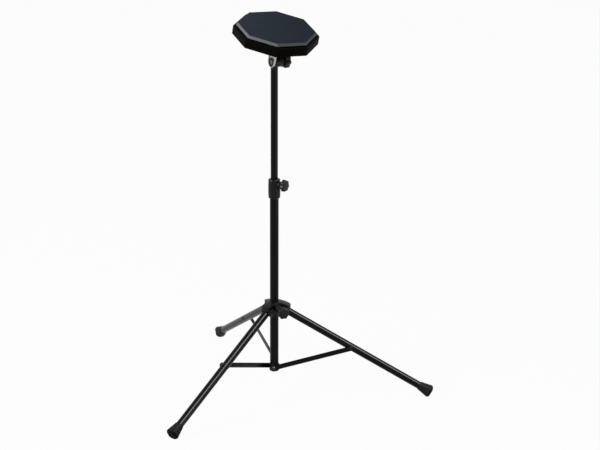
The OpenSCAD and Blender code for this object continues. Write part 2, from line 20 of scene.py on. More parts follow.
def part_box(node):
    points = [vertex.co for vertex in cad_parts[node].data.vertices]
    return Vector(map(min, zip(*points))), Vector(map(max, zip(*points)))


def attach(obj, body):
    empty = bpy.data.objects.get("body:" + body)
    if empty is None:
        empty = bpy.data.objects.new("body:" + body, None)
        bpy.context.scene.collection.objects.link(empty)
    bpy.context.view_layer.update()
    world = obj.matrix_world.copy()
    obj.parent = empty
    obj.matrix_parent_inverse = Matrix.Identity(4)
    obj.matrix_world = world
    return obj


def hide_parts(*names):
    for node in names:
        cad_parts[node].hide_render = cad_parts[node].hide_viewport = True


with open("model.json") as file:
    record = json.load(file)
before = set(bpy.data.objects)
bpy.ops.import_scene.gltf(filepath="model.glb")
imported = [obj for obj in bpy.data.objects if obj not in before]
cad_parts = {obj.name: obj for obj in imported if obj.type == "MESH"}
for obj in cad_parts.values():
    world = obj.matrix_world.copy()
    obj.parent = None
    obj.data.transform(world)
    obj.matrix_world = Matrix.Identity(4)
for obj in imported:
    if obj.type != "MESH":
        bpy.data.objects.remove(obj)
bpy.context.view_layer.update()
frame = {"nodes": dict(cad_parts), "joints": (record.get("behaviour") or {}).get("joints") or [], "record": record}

LOG = logging.getLogger("practice_pad")
MM = 0.001
SIDES = ("front", "right", "left")

RECORD = frame["record"]
JOINTS = {joint["name"]: joint for joint in frame["joints"]}
MOUNTS = {mount["name"]: mount for mount in RECORD["mounts"]}
BODY_OF = {node: body for body, nodes in RECORD["behaviour"]["bodies"].items() for node in nodes}
SLOT_OF = {part["node"]: part["material_slot"] for part in RECORD["subparts"]}

Socket = bpy.types.NodeSocket
Colour = tuple[float, float, float]
Points = Sequence[tuple[float, float]]


# Finishes

CLOUD_SCALE, CLOUD_DETAIL = 35.0, 4.0
SPECK_SCALE, SPECK_DETAIL = 420.0, 3.0
PATCH_START, PATCH_FULL = 0.22, 0.42
BLOTCH_SCALE, BLOTCH_DETAIL = 90.0, 3.0
GRAIN_SCALE, GRAIN_DETAIL = 1.0, 2.0
PIT_SCALE = 0.7
RELIEF_SHARE = 0.25


class Grain(Enum):
    """How a surface's fine relief was made."""

    SPRAYED = "orange peel of a powder coat"
    MOULDED = "fine spark texture of a mould"
    STIPPLED = "small dimples of calendered rubber"
    BRUSHED = "drawn lines of plated sheet"

    @property
    def coarse(self) -> float:
        """The share of pits in the relief."""
        return 0.8 if self is Grain.STIPPLED else 0.15

    @property
    def stretch(self) -> float:
        """The scale of the pattern along Z, where a small one draws it out."""
        return 0.08 if self is Grain.BRUSHED else 1.0


class NodeTree:
    """A node tree with short calls for adding and linking nodes."""

    def __init__(self, tree: bpy.types.NodeTree) -> None:
        """Keeps the tree and clears what Blender put in it."""
        self.tree = tree
        tree.nodes.clear()

    def add(self, kind: str, **values: object) -> bpy.types.Node:
        """Adds a node.

        Args:
            kind: Blender's type name without its ShaderNode prefix.
            values: the node's own properties.

        Returns:
            The new node.
        """
        prefix = "" if kind.startswith("NodeGroup") else "ShaderNode"
        node = self.tree.nodes.new(prefix + kind)
        for name, value in values.items():
            setattr(node, name, value)
        return node

    def join(self, source: Socket, target: Socket) -> None:
        """Links an output to an input."""
        self.tree.links.new(source, target)

    def noise(self, vector: Socket, scale: float, detail: float) -> Socket:
        """Adds a noise texture.

        Args:
            vector: the coordinates that it reads.
            scale: its cells for each unit of those coordinates.
            detail: its number of octaves.

        Returns:
            The noise's factor.
        """
        texture = self.add("TexNoise")
        texture.inputs["Scale"].default_value = scale
        texture.inputs["Detail"].default_value = detail
        self.join(vector, texture.inputs["Vector"])
        return texture.outputs["Fac"]

    def remap(self, value: Socket, low: float, high: float) -> Socket:
        """Spreads a factor over a range.

        Args:
            value: the factor, from 0 to 1.
            low: the result at 0.
            high: the result at 1.

        Returns:
            The spread value.
        """
        node = self.add("MapRange")
        node.inputs["To Min"].default_value = low
        node.inputs["To Max"].default_value = high
        self.join(value, node.inputs["Value"])
        return node.outputs["Result"]

    def calc(self, operation: str, first: Socket, second: Socket | float) -> Socket:
        """Adds a calculation with two values.

        Args:
            operation: Blender's name of the operation.
            first: the first value.
            second: the second value, or a number.

        Returns:
            The result.
        """
        node = self.add("Math", operation=operation)
        self.join(first, node.inputs[0])
        if isinstance(second, float):
            node.inputs[1].default_value = second
        else:
            self.join(second, node.inputs[1])
        return node.outputs[0]

    def mix(self, kind: str, share: Socket, first: Socket, second: Socket) -> Socket:
        """Adds a blend of two values or colours.

        Args:
            kind: Blender's name of the data type.
            share: the second one's share, from 0 to 1.
            first: the first value or colour.
            second: the second value or colour.

        Returns:
            The blend.
        """
        node = self.add("Mix", data_type=kind)
        for source, name in ((share, "Factor"), (first, "A"), (second, "B")):
            self.join(source, node.inputs[name])
        return node.outputs["Result"]


def new_group(
    name: str, inputs: dict[str, str], outputs: dict[str, str]
) -> bpy.types.NodeTree:
    """Makes an empty shader node group.

    Args:
        name: the group's name.
        inputs: each input's name and socket type.
        outputs: each output's name and socket type.

    Returns:
        The group's tree, with no nodes yet.
    """
    group = bpy.data.node_groups.new(name, "ShaderNodeTree")
    for direction, sockets in (("INPUT", inputs), ("OUTPUT", outputs)):
        for socket, kind in sockets.items():
            group.interface.new_socket(socket, in_out=direction, socket_type=kind)
    return group


def scuff_group() -> bpy.types.NodeTree:
    """Makes the group for handling marks: a colour that turns paler in thin patches.

    Returns:
        The group, with inputs Vector, Colour, Scuffed and Amount and output Colour.
    """
    name = "handling_scuffs"
    if name in bpy.data.node_groups:
        return bpy.data.node_groups[name]
    group = new_group(
        name,
        {
            "Vector": "NodeSocketVector",
            "Colour": "NodeSocketColor",
            "Scuffed": "NodeSocketColor",
            "Amount": "NodeSocketFloat",
        },
        {"Colour": "NodeSocketColor"},
    )
    nodes = NodeTree(group)
    given = nodes.add("NodeGroupInput").outputs
    result = nodes.add("NodeGroupOutput")
    cloud = nodes.noise(given["Vector"], CLOUD_SCALE, CLOUD_DETAIL)
    specks = nodes.noise(given["Vector"], SPECK_SCALE, SPECK_DETAIL)
    patches = nodes.add("MapRange", interpolation_type="SMOOTHSTEP")
    patches.inputs["From Min"].default_value = PATCH_START
    patches.inputs["From Max"].default_value = PATCH_FULL
    nodes.join(nodes.calc("MULTIPLY", cloud, specks), patches.inputs["Value"])
    mask = nodes.calc("MULTIPLY", patches.outputs["Result"], given["Amount"])
    colour = nodes.mix("RGBA", mask, given["Colour"], given["Scuffed"])
    nodes.join(colour, result.inputs["Colour"])
    return group


def relief_group() -> bpy.types.NodeTree:
    """Makes the group for fine relief: two sizes of grain mixed into one height.

    Returns:
        The group, with inputs Vector, Scale and Coarse and output Height.
    """
    name = "surface_relief"
    if name in bpy.data.node_groups:
        return bpy.data.node_groups[name]
    group = new_group(
        name,
        {"Vector": "NodeSocketVector", "Scale": "NodeSocketFloat", "Coarse": "NodeSocketFloat"},
        {"Height": "NodeSocketFloat"},
    )
    nodes = NodeTree(group)
    given = nodes.add("NodeGroupInput").outputs
    result = nodes.add("NodeGroupOutput")
    sized = nodes.add("VectorMath", operation="SCALE")
    nodes.join(given["Vector"], sized.inputs[0])
    nodes.join(given["Scale"], sized.inputs["Scale"])
    fine = nodes.noise(sized.outputs[0], GRAIN_SCALE, GRAIN_DETAIL)
    pits = nodes.add("TexVoronoi", feature="SMOOTH_F1")
    nodes.join(sized.outputs[0], pits.inputs["Vector"])
    pits.inputs["Scale"].default_value = PIT_SCALE
    height = nodes.mix("FLOAT", given["Coarse"], fine, pits.outputs["Distance"])
    nodes.join(height, result.inputs["Height"])
    return group


@dataclass(frozen=True)
class Finish:
    """A surface's finish, and the material that shows it."""

    name: str
    colour: Colour
    scuffed: Colour
    roughness: tuple[float, float]
    grain: Grain
    grain_size: float
    relief: float
    scuffs: float = 0.3
    metallic: float = 0.0
    specular: float = 0.3

    def material(self) -> bpy.types.Material:
        """Makes the finish's material, or gives the one that is there.

        Returns:
            The material.
        """
        if self.name in bpy.data.materials:
            return bpy.data.materials[self.name]
        material = bpy.data.materials.new(self.name)
        material.use_nodes = True
        nodes = NodeTree(material.node_tree)
        shader = nodes.add("BsdfPrincipled")
        output = nodes.add("OutputMaterial")
        nodes.join(shader.outputs["BSDF"], output.inputs["Surface"])
        shader.inputs["Metallic"].default_value = self.metallic
        shader.inputs["Specular IOR Level"].default_value = self.specular
        vector = self._coordinates(nodes)
        marks = nodes.add("Group", node_tree=scuff_group())
        nodes.join(vector, marks.inputs["Vector"])
        marks.inputs["Colour"].default_value = (*self.colour, 1.0)
        marks.inputs["Scuffed"].default_value = (*self.scuffed, 1.0)
        marks.inputs["Amount"].default_value = self.scuffs
        nodes.join(marks.outputs["Colour"], shader.inputs["Base Color"])
        blotches = nodes.noise(vector, BLOTCH_SCALE, BLOTCH_DETAIL)
        nodes.join(nodes.remap(blotches, *self.roughness), shader.inputs["Roughness"])
        relief = nodes.add("Group", node_tree=relief_group())
        nodes.join(vector, relief.inputs["Vector"])
        relief.inputs["Scale"].default_value = 1 / self.grain_size
        relief.inputs["Coarse"].default_value = self.grain.coarse
        bump = nodes.add("Bump")
        bump.inputs["Strength"].default_value = self.relief
        bump.inputs["Distance"].default_value = self.grain_size * RELIEF_SHARE
        nodes.join(relief.outputs["Height"], bump.inputs["Height"])
        nodes.join(bump.outputs["Normal"], shader.inputs["Normal"])
        return material

    def _coordinates(self, nodes: NodeTree) -> Socket:
        """Gives the coordinates that the patterns read, drawn out along Z for a brushed surface."""
        source = nodes.add("TexCoord")
        mapping = nodes.add("Mapping")
        mapping.inputs["Scale"].default_value = (1.0, 1.0, self.grain.stretch)
        nodes.join(source.outputs["Object"], mapping.inputs["Vector"])
        return mapping.outputs["Vector"]


POWDER_COAT = Finish(
    "powder_coat_black", (0.0009, 0.0008, 0.0009), (0.0036, 0.0033, 0.0036), (0.2, 0.26),
    Grain.SPRAYED, 0.9 * MM, 0.015, scuffs=0.25, specular=0.1,
)
MOULDED_BLACK = Finish(
    "moulded_black", (0.0034, 0.003, 0.0035), (0.013, 0.0115, 0.0132), (0.3, 0.42),
    Grain.MOULDED, 0.5 * MM, 0.12, specular=0.14,
)
KNOB_BLACK = Finish(
    "knob_grip_black", (0.006, 0.0055, 0.007), (0.024, 0.022, 0.028), (0.3, 0.4),
    Grain.MOULDED, 0.6 * MM, 0.1, specular=0.15,
)
FOOT_RUBBER = Finish(
    "foot_cap_rubber", (0.012, 0.011, 0.0126), (0.027, 0.0255, 0.0265), (0.42, 0.56),
    Grain.MOULDED, 0.7 * MM, 0.12, scuffs=0.4, specular=0.05,
)
# Darker rubber for the foot's end: painted shade, for an end turned away from the light.
FOOT_END_SHADE_RUBBER = Finish(
    "foot_end_painted_shade", (0.0045, 0.0041, 0.0044), (0.012, 0.0112, 0.0115), (0.5, 0.65),
    Grain.MOULDED, 0.7 * MM, 0.12, scuffs=0.4, specular=0.02,
)
FACE_RUBBER = Finish(
    "playing_face_rubber", (0.034, 0.0427, 0.0577), (0.047, 0.056, 0.07), (0.66, 0.8),
    Grain.STIPPLED, 0.8 * MM, 0.2, scuffs=0.35, specular=0.004,
)
# Lighter grey for the pad's bevelled edge: a painted highlight standing in for the light that the bevel catches.
BEVEL_SHEEN_RUBBER = Finish(
    "bevel_painted_sheen_rubber", (0.122, 0.128, 0.14), (0.145, 0.15, 0.16), (0.55, 0.7),
    Grain.STIPPLED, 0.8 * MM, 0.15, scuffs=0.3, specular=0.03,
)
SHEET_RUBBER = Finish(
    "damping_sheet", (0.004, 0.004, 0.0043), (0.009, 0.009, 0.009), (0.82, 0.95),
    Grain.STIPPLED, 1.2 * MM, 0.35, specular=0.01,
)
BOARD_PAINT = Finish(
    "board_black_paint", (0.0021, 0.0017, 0.0014), (0.009, 0.0066, 0.005), (0.5, 0.62),
    Grain.SPRAYED, 1.1 * MM, 0.12, scuffs=0.35, specular=0.015,
)
ZINC_PLATE = Finish(
    "bright_zinc", (0.4, 0.38, 0.38), (0.28, 0.27, 0.27), (0.22, 0.38),
    Grain.BRUSHED, 0.5 * MM, 0.08, scuffs=0.5, metallic=1.0, specular=0.5,
)
DULL_STEEL = Finish(
    "dull_steel", (0.13, 0.125, 0.135), (0.09, 0.088, 0.092), (0.36, 0.5),
    Grain.BRUSHED, 0.4 * MM, 0.06, scuffs=0.4, metallic=1.0, specular=0.5,
)
OILED_STEEL = Finish(
    "oiled_steel", (0.055, 0.052, 0.057), (0.036, 0.035, 0.037), (0.3, 0.44),
    Grain.BRUSHED, 0.4 * MM, 0.06, scuffs=0.4, metallic=1.0, specular=0.5,
)
BLACK_STEEL = Finish(
    "blackened_steel", (0.006, 0.0057, 0.006), (0.028, 0.027, 0.027), (0.32, 0.46),
    Grain.MOULDED, 0.4 * MM, 0.06, scuffs=0.4, specular=0.1,
)
TURNED_BRASS = Finish(
    "turned_brass", (0.7, 0.5, 0.22), (0.45, 0.32, 0.15), (0.25, 0.4),
    Grain.BRUSHED, 0.4 * MM, 0.08, metallic=1.0, specular=0.5,
)
SLOT_FINISH = {
    "black_tube": POWDER_COAT,
    "black_steel": BLACK_STEEL,
    "black_plastic": MOULDED_BLACK,
    "knob_plastic": KNOB_BLACK,
    "zinc_steel": ZINC_PLATE,
    "nut_brass": TURNED_BRASS,
    "foot_rubber": FOOT_RUBBER,
    "board": BOARD_PAINT,
    "sheet_rubber": SHEET_RUBBER,
    "face_rubber": FACE_RUBBER,
}


# Places and shapes

ON_HEIGHT = 0.05 * MM
PARALLEL = 1e-6
LEVEL = 1e-6
SPIN_MERGE = 1e-7
SOLID_MERGE = 1e-6
FLAT_TURN = math.radians(0.5)
HARD_TURN = math.radians(40.0)
SOFT_STEPS = 2
SOFT_SHARP = 30.0
HEX_SECTOR = math.pi / 3


@dataclass(frozen=True)
class Place:
    """A local frame: an origin, the axis that a shape is built along, and its starting side."""

    origin: Vector
    along: Vector
    side: Vector

    @staticmethod
    def at(
        origin: Iterable[float], along: Iterable[float], side: Iterable[float] = (0, 0, 1)
    ) -> "Place":
        """Makes a place from an origin and two directions.

        Args:
            origin: the local origin.
            along: the direction of the local Z axis.
            side: a direction near the local X axis; any square one is taken if it lies along Z.

        Returns:
            The place, with square axes.
        """
        axis = Vector(along).normalized()
        near = Vector(side)
        if near.cross(axis).length < PARALLEL:
            near = axis.orthogonal()
        return Place(Vector(origin), axis, (near - axis * near.dot(axis)).normalized())

    @staticmethod
    def of_joint(name: str) -> "Place":
        """Gives the place of a hinge, with its axis as the local Z axis."""
        return Place.at(JOINTS[name]["pos_m"], JOINTS[name]["axis"])

    @property
    def matrix(self) -> Matrix:
        """The matrix from this place to the row frame."""
        across = self.along.cross(self.side)
        turn = Matrix((self.side, across, self.along)).transposed().to_4x4()
        return Matrix.Translation(self.origin) @ turn

    def points(self, node: str) -> list[Vector]:
        """Gives a CAD node's vertices in this place's own coordinates."""
        inverse = self.matrix.inverted()
        return [inverse @ vertex.co for vertex in frame["nodes"][node].data.vertices]

    def span(self, node: str) -> tuple[float, float]:
        """Gives a CAD node's lowest and highest point along the local Z axis."""
        heights = [point.z for point in self.points(node)]
        return min(heights), max(heights)

    def widest(self, node: str) -> float:
        """Gives the farthest that a CAD node reaches from the axis."""
        return max(point.xy.length for point in self.points(node))

    def radii(self, node: str, height: float, margin: float = ON_HEIGHT) -> list[float]:
        """Finds how far a CAD node's vertices at one height lie from the axis.

        Args:
            node: the node's name.
            height: where to look, along the local Z axis.
            margin: how far from that height a vertex may lie.

        Returns:
            The radius of each vertex there.
        """
        return [point.xy.length for point in self.points(node) if abs(point.z - height) < margin]

    def rim(self, node: str, height: float, margin: float = ON_HEIGHT) -> float:
        """Gives the largest radius of a CAD node at one height, found as in radii."""
        return max(self.radii(node, height, margin))


HOME = Place.at((0, 0, 0), (0, 0, 1), (1, 0, 0))


def new_object(
    name: str, mesh: bmesh.types.BMesh, materials: Iterable[bpy.types.Material]
) -> bpy.types.Object:
    """Turns a bmesh into an object of the scene.

    Args:
        name: the name of the object and its mesh.
        mesh: the shape, in the row frame; it is freed.
        materials: the materials of its slots, in order.

    Returns:
        The object.
    """
    data = bpy.data.meshes.new(name)
    mesh.to_mesh(data)
    mesh.free()
    for material in materials:
        data.materials.append(material)
    result = bpy.data.objects.new(name, data)
    bpy.context.scene.collection.objects.link(result)
    return result


def add_piece(
    name: str, node: str, mesh: bmesh.types.BMesh, finishes: Sequence[Finish], sharp: float = 35.0
) -> None:
    """Turns a bmesh into a piece that stands for a CAD node.

    Args:
        name: the piece's name.
        node: the CAD node that it replaces and whose body it rides on.
        mesh: the shape, in the row frame; it is freed.
        finishes: the finishes of its material slots, in order.
        sharp: edges that turn more than this many degrees stay sharp.
    """
    piece = new_object(name, mesh, [finish.material() for finish in finishes])
    piece.data.shade_smooth()
    piece.data.set_sharp_from_angle(angle=math.radians(sharp))
    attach(piece, BODY_OF[node])
    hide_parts(node)
    LOG.info("%s stands for %s", name, node)


class Outline(Enum):
    """The outline of a section across an axis."""

    ROUND = "circle"
    LOBED = "star of round lobes"
    HEX = "hexagon"


@dataclass(frozen=True)
class Section:
    """One section of a lofted shape: its height, its reach from the axis and its outline."""

    height: float
    radius: float
    outline: Outline = Outline.ROUND
    lobes: int = 6
    depth: float = 0.0

    def reach(self, angle: float) -> float:
        """Gives the section's radius at an angle round the axis.

        Args:
            angle: the angle in radians.

        Returns:
            The radius there.
        """
        if self.outline is Outline.LOBED:
            return self.radius - self.depth * (1 - math.cos(self.lobes * angle)) / 2
        if self.outline is Outline.HEX:
            middle = HEX_SECTOR / 2
            return self.radius * math.cos(middle) / math.cos((angle % HEX_SECTOR) - middle)
        return self.radius


def loft(sections: Sequence[Section], place: Place, segments: int) -> bmesh.types.BMesh:
    """Skins a row of sections and closes both ends.

    Args:
        sections: the sections, in order along the skin.
        place: where the shape goes.
        segments: the number of points on each section.

    Returns:
        The closed shape in the row frame.
    """
    mesh = bmesh.new()
    loops = []
    for section in sections:
        circle = bmesh.ops.create_circle(mesh, cap_ends=False, segments=segments, radius=1.0)
        for vertex in circle["verts"]:
            angle = math.atan2(vertex.co.y, vertex.co.x)
            reach = section.reach(angle)
            vertex.co = (reach * math.cos(angle), reach * math.sin(angle), section.height)
        loops.append(list({edge for vertex in circle["verts"] for edge in vertex.link_edges}))
    for inner, outer in zip(loops, loops[1:]):
        bmesh.ops.bridge_loops(mesh, edges=inner + outer)
    for end in (loops[0], loops[-1]):
        bmesh.ops.contextual_create(mesh, geom=end)
    bmesh.ops.recalc_face_normals(mesh, faces=mesh.faces)
    bmesh.ops.transform(mesh, matrix=place.matrix, verts=mesh.verts)
    return mesh


def lathe(profile: Points, place: Place, steps: int) -> bmesh.types.BMesh:
    """Turns a profile once round the local Z axis.

    Args:
        profile: radius and height of each point, from end to end on the axis or as a closed loop.
        place: where the shape goes.
        steps: the number of steps round the axis.

    Returns:
        The closed shape in the row frame.
    """
    mesh = bmesh.new()
    points = [mesh.verts.new((radius, 0.0, height)) for radius, height in profile]
    edges = [mesh.edges.new(pair) for pair in zip(points, points[1:])]
    bmesh.ops.spin(
        mesh, geom=points + edges, cent=(0, 0, 0), axis=(0, 0, 1), angle=2 * math.pi,
        steps=steps, use_merge=True,
    )
    bmesh.ops.remove_doubles(mesh, verts=mesh.verts, dist=SPIN_MERGE)
    bmesh.ops.recalc_face_normals(mesh, faces=mesh.faces)
    bmesh.ops.transform(mesh, matrix=place.matrix, verts=mesh.verts)
    return mesh


def bevel(
    mesh: bmesh.types.BMesh, edges: list[bmesh.types.BMEdge], width: float, segments: int
) -> None:
    """Rounds edges.

    Args:
        mesh: the shape to change.
        edges: its edges to round.
        width: the bevel's width.
        segments: the number of steps across the bevel.
    """
    bmesh.ops.bevel(
        mesh, geom=edges, offset=width, offset_type="OFFSET", segments=segments, profile=0.5,
        affect="EDGES", clamp_overlap=True, material=-1,
    )


def soften(name: str, node: str, width: float, finish: Finish) -> None:
    """Makes a piece from a copy of a CAD node's own solid, with its hard edges rounded.

    Args:
        name: the piece's name.
        node: the CAD node.
        width: the width of the rounded edges.
        finish: the piece's finish.
    """
    mesh = bmesh.new()
    mesh.from_mesh(frame["nodes"][node].data)
    bmesh.ops.remove_doubles(mesh, verts=mesh.verts, dist=SOLID_MERGE)
    bmesh.ops.dissolve_limit(
        mesh, angle_limit=FLAT_TURN, use_dissolve_boundaries=False, verts=mesh.verts,
        edges=mesh.edges,
    )
    hard = [
        edge
        for edge in mesh.edges
        if len(edge.link_faces) == 2 and edge.calc_face_angle(0.0) > HARD_TURN
    ]
    bevel(mesh, hard, width, SOFT_STEPS)
    bmesh.ops.triangulate(mesh, faces=[face for face in mesh.faces if len(face.verts) > 4])
    add_piece(name, node, mesh, (finish,), SOFT_SHARP)


def dress(node: str) -> None:
    """Gives a CAD node the material of its slot."""
    data = frame["nodes"][node].data
    data.materials.clear()
    data.materials.append(SLOT_FINISH[SLOT_OF[node]].material())
    LOG.info("%s is dressed", node)


# Sub-assemblies


@dataclass
class PracticePad:
    """The eight-sided pad: rubber face with its bevelled edge, damping sheet and base board."""

    edge_round: float = 0.5 * MM
    corner_round: float = 1.2 * MM
    board_round: float = 0.9 * MM
    sheet_round: float = 0.4 * MM
    corners: int = 8
    round_steps: int = 3
    cap_slope: float = 0.5
    face_slope: float = 0.95
    sharp: float = 20.0
    place: Place = field(init=False)

    def __post_init__(self) -> None:
        """Places the pad on its playing face, with one corner of the rubber on the local X axis."""
        face = MOUNTS["playing_face"]
        level = Place.at(face["pos_m"], face["axis"])
        corner = max(level.points("rubber_pad"), key=lambda point: point.xy.length)
        side = level.matrix.to_3x3() @ Vector((*corner.xy, 0.0))
        self.place = Place.at(face["pos_m"], face["axis"], side)

    def build(self) -> None:
        """Builds the rubber face, the damping sheet and the base board."""
        low_rim, high_rim = (
            self.place.rim("rubber_pad", height) for height in self.place.span("rubber_pad")
        )
        mesh = self._slab("rubber_pad", low_rim, high_rim, self.edge_round)
        # Faces off the playing face take the lighter bevel rubber, a painted highlight on the bevel.
        for face in mesh.faces:
            face.material_index = int(face.normal.dot(self.place.along) <= self.face_slope)
        add_piece("rubber_face", "rubber_pad", mesh, (FACE_RUBBER, BEVEL_SHEEN_RUBBER), self.sharp)
        rim = self.place.rim("damping_sheet", self.place.span("damping_sheet")[0])
        mesh = self._slab("damping_sheet", rim, rim, self.sheet_round)
        add_piece("damping_layer", "damping_sheet", mesh, (SHEET_RUBBER,), self.sharp)
        rim = self.place.widest("pad_base")
        mesh = self._slab("pad_base", rim, rim, self.board_round)
        add_piece("base_board", "pad_base", mesh, (BOARD_PAINT,), self.sharp)

    def _slab(
        self, node: str, low_rim: float, high_rim: float, rim_round: float
    ) -> bmesh.types.BMesh:
        """Makes an eight-sided slab between a node's faces, with rounded corners and rims.

        Args:
            node: the CAD node that gives the slab's faces.
            low_rim: the corner radius of its lower face.
            high_rim: the corner radius of its upper face.
            rim_round: the width of the rounded rims of both faces.

        Returns:
            The slab in the row frame.
        """
        low, high = self.place.span(node)
        mesh = bmesh.new()
        bmesh.ops.create_cone(
            mesh, cap_ends=True, segments=self.corners, radius1=low_rim, radius2=high_rim,
            depth=high - low, matrix=Matrix.Translation((0, 0, (low + high) / 2)),
        )
        corner = max(mesh.verts, key=lambda vertex: vertex.co.xy.length)
        turn = Matrix.Rotation(-math.atan2(corner.co.y, corner.co.x), 3, "Z")
        bmesh.ops.rotate(mesh, cent=(0, 0, 0), matrix=turn, verts=mesh.verts)
        for width, on_rim in ((self.corner_round, False), (rim_round, True)):
            edges = [
                edge
                for edge in mesh.edges
                if self._is_level(edge) == on_rim and self._meets_cap(edge) == on_rim
            ]
            bevel(mesh, edges, width, self.round_steps)
            mesh.normal_update()
        bmesh.ops.transform(mesh, matrix=self.place.matrix, verts=mesh.verts)
        return mesh

    def _is_level(self, edge: bmesh.types.BMEdge) -> bool:
        """Tells if an edge runs level in the pad's own coordinates."""
        first, second = edge.verts
        return abs(first.co.z - second.co.z) < LEVEL

    def _meets_cap(self, edge: bmesh.types.BMEdge) -> bool:
        """Tells if an edge borders the slab's lower or upper face."""
        return any(
            abs(face.normal.z) > self.cap_slope and len(face.verts) >= self.corners
            for face in edge.link_faces
        )


@dataclass
class GripKnob:
    """A lobed clamp knob on its screw."""

    name: str
    node: str
    hinge: str
    screw_r: float
    hub_r: float
    head: float = 12 * MM
    lobes: int = 7
    lobe_depth: float = 2.5 * MM
    edge: float = 2.6 * MM
    hub_edge: float = 0.4 * MM
    hole_share: float = 0.5
    edge_steps: int = 5
    edge_drop: float = 1.2
    crown_inset: float = 3 * MM
    crown_drop: float = 0.1
    crown_lobes: float = 0.5
    dish_shares: tuple[float, float, float] = (0.55, 0.42, 0.38)
    dish_depth: float = 0.6 * MM
    lobe_points: int = 16
    sharp: float = 40.0

    def build(self) -> None:
        """Builds the knob: a hub with a hole for the screw, and a head rounded at both rims."""
        place = Place.of_joint(self.hinge)
        low, high = place.span(self.node)
        rim = place.widest(self.node)
        start = high - self.head
        crown = rim - self.edge - self.crown_inset
        dish_edge, dish_wall, dish_floor = (crown * share for share in self.dish_shares)
        swings = [math.pi / 2 * step / self.edge_steps for step in range(self.edge_steps + 1)]
        lower = [
            self._lobed(start + self.edge * (1 - math.cos(swing)), rim, math.sin(swing))
            for swing in swings
        ]
        upper = [
            self._lobed(high - self.edge * (self.edge_drop - math.sin(swing)), rim, math.cos(swing))
            for swing in swings
        ]
        crown_depth = self.lobe_depth * self.crown_lobes
        crown_height = high - self.crown_drop * self.edge
        sections = [
            Section(start + self.head * self.hole_share, self.screw_r),
            Section(low, self.screw_r),
            Section(low, self.hub_r - self.hub_edge),
            Section(low + self.hub_edge, self.hub_r),
            Section(start, self.hub_r),
            *lower,
            *upper,
            Section(crown_height, crown, Outline.LOBED, self.lobes, crown_depth),
            Section(high, dish_edge),
            Section(high, dish_wall),
            Section(high - self.dish_depth, dish_floor),
        ]
        mesh = loft(sections, place, self.lobes * self.lobe_points)
        add_piece(self.name, self.node, mesh, (KNOB_BLACK,), self.sharp)

    def _lobed(self, height: float, rim: float, fullness: float) -> Section:
        """Gives a lobed section whose reach grows with its fullness, from 0 to 1."""
        radius = rim - self.edge * (1 - fullness)
        return Section(height, radius, Outline.LOBED, self.lobes, self.lobe_depth)


@dataclass
class SocketScrew:
    """A screw with a domed head and a hexagon socket."""

    name: str
    node: str
    place: Place
    head_h: float
    finish: Finish
    socket: float = 0.55
    socket_taper: tuple[float, float] = (0.92, 0.9)
    socket_lip: float = 0.1 * MM
    socket_floor: float = 0.35
    dome_rings: int = 5
    segments: int = 48

    def build(self) -> None:
        """Builds the shank and a domed head with its socket, out along the local Z axis."""
        low, high = self.place.span(self.node)
        neck = high - self.head_h
        shank = self.place.rim(self.node, low)
        head = self.place.widest(self.node)
        cap = (self.head_h**2 + head**2) / (2 * self.head_h)
        lift = cap - self.head_h
        key = head * self.socket
        top = math.sqrt(cap**2 - key**2) - lift
        sections = [Section(low, shank), Section(neck, shank), Section(neck, head)]
        for ring in range(1, self.dome_rings + 1):
            height = top * ring / self.dome_rings
            sections.append(Section(neck + height, math.sqrt(cap**2 - (lift + height) ** 2)))
        mouth, floor = self.socket_taper
        sections += [
            Section(neck + top - self.socket_lip, key * mouth, Outline.HEX),
            Section(neck + top * self.socket_floor, key * floor, Outline.HEX),
        ]
        mesh = loft(sections, self.place, self.segments)
        add_piece(self.name, self.node, mesh, (self.finish,))


def corner_points(radius: float, height: float, offsets: Points) -> list[tuple[float, float]]:
    """Gives the points of a profile round one of its corners.

    Args:
        radius: the corner's radius.
        height: the corner's height.
        offsets: each point's distance outward and upward from the corner, in millimetres.

    Returns:
        The radius and height of each point.
    """
    return [(radius + out * MM, height + up * MM) for out, up in offsets]


